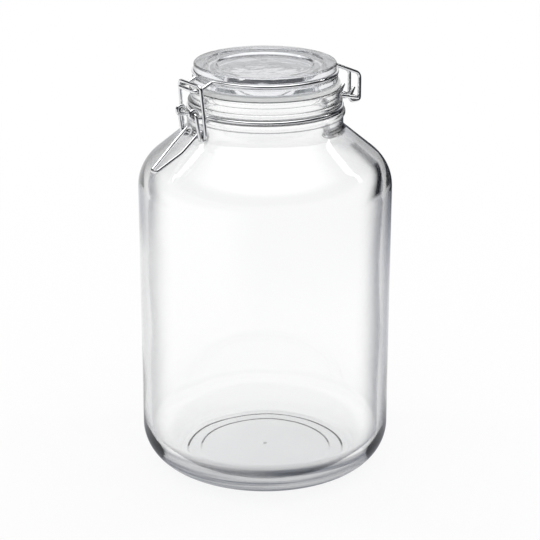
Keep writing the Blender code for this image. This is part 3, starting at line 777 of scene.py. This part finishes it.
# %% [markdown]
# ## Bent wire
#
# A wire is a circle carried along a path. A curve with a bevel depth does this too, but its ends are cut off sharp,
# and the scale of its map changes with the wire's length. At each point of the path the circle needs two
# directions across it. They are carried from point to point with as little twist as possible, so that the drawn
# streaks stay straight. The path's length and the angle round it become the wire's map.

# %% Carrying a circle along a path
WIRE_SIDES = 24
MAP_UNIT = 0.010


def carried(path):
    """Two directions across the path at each point: each is the one before, less its part along the path."""
    ahead = unit(np.vstack([path[1:2] - path[:1], path[2:] - path[:-2], path[-1:] - path[-2:-1]]))
    across = [unit(np.cross(ahead[0], [0.31, 0.52, 0.79]))]
    for way in ahead[1:]:
        last = across[-1]
        across.append(unit(last - (last @ way) * way))
    across = np.array(across)
    return across, np.cross(ahead, across)


def with_cut_ends(path, chamfer=0.00025):
    """Adds a point just inside each end, and gives the girth there: the very end is cut back by the chamfer."""
    head = path[0] + unit(path[1] - path[0]) * chamfer
    tail = path[-1] + unit(path[-2] - path[-1]) * chamfer
    longer = np.vstack([path[:1], head[None], path[1:-1], tail[None], path[-1:]])
    girth = np.ones(len(longer))
    girth[[0, -1]] = 1 - chamfer / WIRE_RADIUS
    return longer, girth


def wire_piece(name, path, body, node):
    """A round wire with chamfered ends: centre + radius (cos a * across + sin a * sideways)."""
    steps = np.linalg.norm(np.diff(path, axis=0), axis=1)
    path = path[np.concatenate([[True], steps > 1e-6])]
    path, girth = with_cut_ends(path)
    across, sideways = carried(path)
    angle = np.arange(WIRE_SIDES) * 2 * pi / WIRE_SIDES
    spokes = across[:, None] * np.cos(angle)[:, None] + sideways[:, None] * np.sin(angle)[:, None]
    grid = path[:, None] + WIRE_RADIUS * girth[:, None, None] * spokes
    points = np.vstack([grid.reshape(-1, 3), path[:1], path[-1:]])
    faces = tube_faces(len(grid), WIRE_SIDES)
    length = np.concatenate([[0], np.cumsum(np.linalg.norm(np.diff(path, axis=0), axis=1))])
    i, j = np.meshgrid(np.arange(len(grid) - 1), np.arange(WIRE_SIDES), indexing="ij")
    u = np.stack([length[i], length[i], length[i + 1], length[i + 1]], -1) / MAP_UNIT
    v = np.stack([j, j + 1, j + 1, j], -1) / WIRE_SIDES
    body_map = np.stack([u, v], -1).reshape(-1, 4, 2)
    if enclosed(points, faces) < 0:
        body_map = body_map[:, ::-1]
    cap_map = np.zeros((2 * 3 * WIRE_SIDES, 2))
    print(f"  wire {length[-1] * 1000:.0f} mm long")
    uv = np.vstack([body_map.reshape(-1, 2), cap_map])
    new_piece(name, points, outward(points, faces), wire_steel, body, node, uv)

# %% [markdown]
# ## Places on the clasp and the hinge
#
# The clasp and the hinge are worked out in the plane of the jar's axis. Front places are (out, up), where out is
# the distance in front of the axis; the same pair used behind the jar gives the hinge. An eye or a hook is a
# circle, and the wire leaves it along the line that just touches it, so no kink shows where the two meet.

# %% Places and turns
WIRE = 2 * WIRE_RADIUS
LOOP = WIRE + SEAT_GAP
WIRE_BEND = 0.0020
NECK_RING = NECK_RADIUS + SEAT_GAP + WIRE_RADIUS
EYE_X = 0.0074
ARM_X = EYE_X + WIRE + SEAT_GAP
BAIL_X = ARM_X + WIRE + SEAT_GAP
PIN_X = EYE_X - WIRE_RADIUS - 0.0010
PIVOT = np.array([RIM_RADIUS + 0.0106, JAR_HEIGHT - 0.0092])
COIL = np.array([sqrt(NECK_ROOT_RADIUS ** 2 - EYE_X ** 2) + SEAT_GAP + LOOP + WIRE_RADIUS, JAR_HEIGHT - 0.0240])
HINGE = np.array([RIM_RADIUS + 0.0197, JAR_HEIGHT - 0.0163])
HINGE_X = 0.0055
HINGE_BAR_X = HINGE_X + WIRE + 0.0009
TONGUE_X = 0.0090
TONGUE_ROOT_OUT, TONGUE_ROOT_DROP = 0.0055, 0.0032
TONGUE_TIP_OUT, TONGUE_TIP_DROP = 0.0107, 0.0040
print(f"handle's arm {1000 * hypot(*(PIVOT - COIL)):.1f} mm from pin to coil")


def front(x, place):
    """A point in front of the jar: x to the side, and (out, up)."""
    return np.array([x, -place[0], place[1]])


def back(x, place):
    """A point behind the jar."""
    return np.array([x, place[0], place[1]])


def on_circle(centre, angle):
    """The point at an angle on the circle that a wire makes round another wire."""
    return np.array(centre) + LOOP * np.array([cos(angle), sin(angle)])


def touch_angle(centre, point, side):
    """Where a line from a point touches that circle, as the angle there: the line's angle give or take acos(r/d)."""
    across = np.array(point) - centre
    return atan2(across[1], across[0]) + side * acos(LOOP / hypot(*across))


def ring_side(radius, z, x_back, x_front, step=radians(2)):
    """The +X side of a ring, from the back to the front, stopping at two distances from the middle plane."""
    start, end = pi / 2 - asin(x_back / radius), -pi / 2 + asin(x_front / radius)
    angle = np.linspace(start, end, round((start - end) / step) + 1)
    return np.column_stack([radius * np.cos(angle), radius * np.sin(angle), np.full(len(angle), z)])


def both_sides(half):
    """A whole wire from its +X half, which ends near the middle plane."""
    return np.vstack([half, half[::-1] * [-1, 1, 1]])

# %% [markdown]
# ## The neck wire
#
# One wire lies in the groove between the neck's two beads. In front each end is bent forward and curled into an eye
# for the handle; behind, both sides run out to a straight bar, on which the lid turns. Only one half is worked
# out, and the path goes on with its mirror image, so that the wire runs through the middle without a seam. A
# Mirror modifier would have to merge two cut ends there.

# %% The neck wire
def neck_path():
    """Eye, run to the neck, side of the neck, run to the hinge bar."""
    start = radians(195)
    run = [NECK_RING + 0.0002, NECK_WIRE_Z]
    sweep = (start - touch_angle(PIVOT, run, 1)) % (2 * pi)
    angles = start - np.linspace(0, sweep, round(sweep / radians(9)) + 1)
    eye = np.array([front(EYE_X, on_circle(PIVOT, a)) for a in angles])
    side = ring_side(NECK_RING, NECK_WIRE_Z, HINGE_BAR_X + 2 * WIRE, EYE_X + 2 * WIRE)[::-1]
    past_bead = [NECK_RADIUS + LOWER_BEAD_PROUD + WIRE_RADIUS, NECK_WIRE_Z]
    tail = rounded([
        (side[-1], 0),
        (back(HINGE_BAR_X, run), WIRE_BEND),
        (back(HINGE_BAR_X, past_bead), WIRE_BEND),
        (back(HINGE_BAR_X, HINGE), WIRE_BEND),
        (back(0.0, HINGE), 0),
    ])
    corner = bend(eye[-1], front(EYE_X, run), side[0], WIRE_BEND)
    return both_sides(np.vstack([eye, corner, side, tail[1:-1]]))


wire_piece("neck_ring_wire", neck_path(), "jar", "neck_wire")

# %% [markdown]
# ## The lid wire
#
# The second wire holds the lid. In front it is drawn out and down into a tongue that the bail pulls on. Behind,
# each side drops as a leg, hooks under the hinge bar and ends in a short cut stub. Its hoop is a true arc with
# many points, and every bend between the arc and the straight runs has its own radius.

# %% The lid wire
def lid_path():
    """Stub, hook, leg, side of the hoop, tongue."""
    leg = HINGE[0] + 0.0038
    lean = radians(27)
    middle = HINGE - [0.0012, 0.0]
    hoop = [HOOP_RING, HOOP_Z]
    past_flange = [FLANGE_RADIUS + SEAT_GAP, HOOP_Z]
    hook = np.array([back(HINGE_X, on_circle(middle, a)) for a in np.linspace(1.5 * pi, pi - lean, 14)])
    stub = hook[-1] + 0.0062 * np.array([0.0, sin(lean), cos(lean)])
    side = ring_side(HOOP_RING, HOOP_Z, HINGE_X + 2 * WIRE, TONGUE_X + 2 * WIRE)
    tongue_root = [RIM_RADIUS + TONGUE_ROOT_OUT, HOOP_Z - TONGUE_ROOT_DROP]
    tongue_tip = [RIM_RADIUS + TONGUE_TIP_OUT, HOOP_Z - TONGUE_TIP_DROP]
    tail = rounded([
        (hook[0], 0),
        (back(HINGE_X, [leg, HINGE[1] - LOOP]), WIRE_BEND),
        (back(HINGE_X, [leg, JAR_HEIGHT - 0.0012]), 0.0050),
        (back(HINGE_X, past_flange), WIRE_BEND),
        (back(HINGE_X, hoop), WIRE_BEND),
        (side[0], 0),
    ])
    nose = rounded([
        (side[-1], 0),
        (front(TONGUE_X, hoop), WIRE_BEND),
        (front(TONGUE_X, past_flange), WIRE_BEND),
        (front(TONGUE_X, tongue_root), WIRE_BEND),
        (front(TONGUE_X, tongue_tip), WIRE_BEND),
        (front(0.0, tongue_tip), 0),
    ])
    return both_sides(np.vstack([stub[None], hook[::-1], tail[1:-1], side, nose[1:-1]]))


wire_piece("lid_hoop_wire", lid_path(), "lid", "lid_wire")

# %% [markdown]
# ## The handle
#
# The handle's ends pin into the neck wire's eyes. From there each arm runs down and is wound through most of
# a turn, which makes an eye for the bail, and then both sides come together in a long narrow loop for the finger.
# The eye could be a ring laid against a bent wire, but the real one is the same wire, wound. So the coil moves
# sideways as it winds, and the arm and the handle's side pass beside each other.

# %% The handle
def handle_path():
    """Pin, arm, coil, side and tip. The coil's angle falls evenly while its x moves one wire inwards."""
    knee = [RIM_RADIUS + 0.0195, JAR_HEIGHT - 0.0324]
    tip = [RIM_RADIUS + 0.0357, JAR_HEIGHT - 0.0433]
    arrive = touch_angle(COIL, PIVOT, -1)
    sweep = (arrive - touch_angle(COIL, knee, 1)) % (2 * pi)
    share = np.linspace(0, 1, round(sweep / radians(8)) + 1)
    coil = np.array([front(ARM_X + (EYE_X - ARM_X) * s, on_circle(COIL, arrive - sweep * s)) for s in share])
    top = rounded([(front(PIN_X, PIVOT), 0), (front(ARM_X, PIVOT), WIRE_BEND), (coil[0], 0)])
    side = rounded([
        (coil[-1], 0),
        (front(0.0070, knee), 0.0080),
        (front(0.0026, tip), WIRE_BEND),
        (front(0.0, tip), 0),
    ])
    return both_sides(np.vstack([top[:-1], coil, side[1:-1]]))


wire_piece("handle_wire", handle_path(), "lever", "clasp_lever")

# %% [markdown]
# ## The bail
#
# The bail is the loop that pulls the lid down. It pins into the coiled eyes, and its bar lies over the tongue. Its
# bar's height follows from the tongue's slope, so that the two keep their small gap when a size changes.

# %% The bail
def bail_path():
    """Pin, leg, corner and bar. The bar's height is the tongue's at that place, plus a wire and a gap."""
    bar_out = 0.0083
    fall = (TONGUE_TIP_DROP - TONGUE_ROOT_DROP) / (TONGUE_TIP_OUT - TONGUE_ROOT_OUT)
    bar_z = HOOP_Z - TONGUE_ROOT_DROP - fall * (bar_out - TONGUE_ROOT_OUT) + WIRE + SEAT_GAP
    bar = np.array([RIM_RADIUS + bar_out, bar_z])
    shoulder = COIL + unit(bar - COIL) * 0.0130
    half = rounded([
        (front(PIN_X, COIL), 0),
        (front(BAIL_X, COIL), WIRE_BEND),
        (front(BAIL_X, shoulder), 0.0100),
        (front(BAIL_X - 0.0006, bar), 0.0028),
        (front(0.0, bar), 0),
    ])
    return both_sides(half[:-1])


wire_piece("bail_wire", bail_path(), "bail", "clasp_bail")
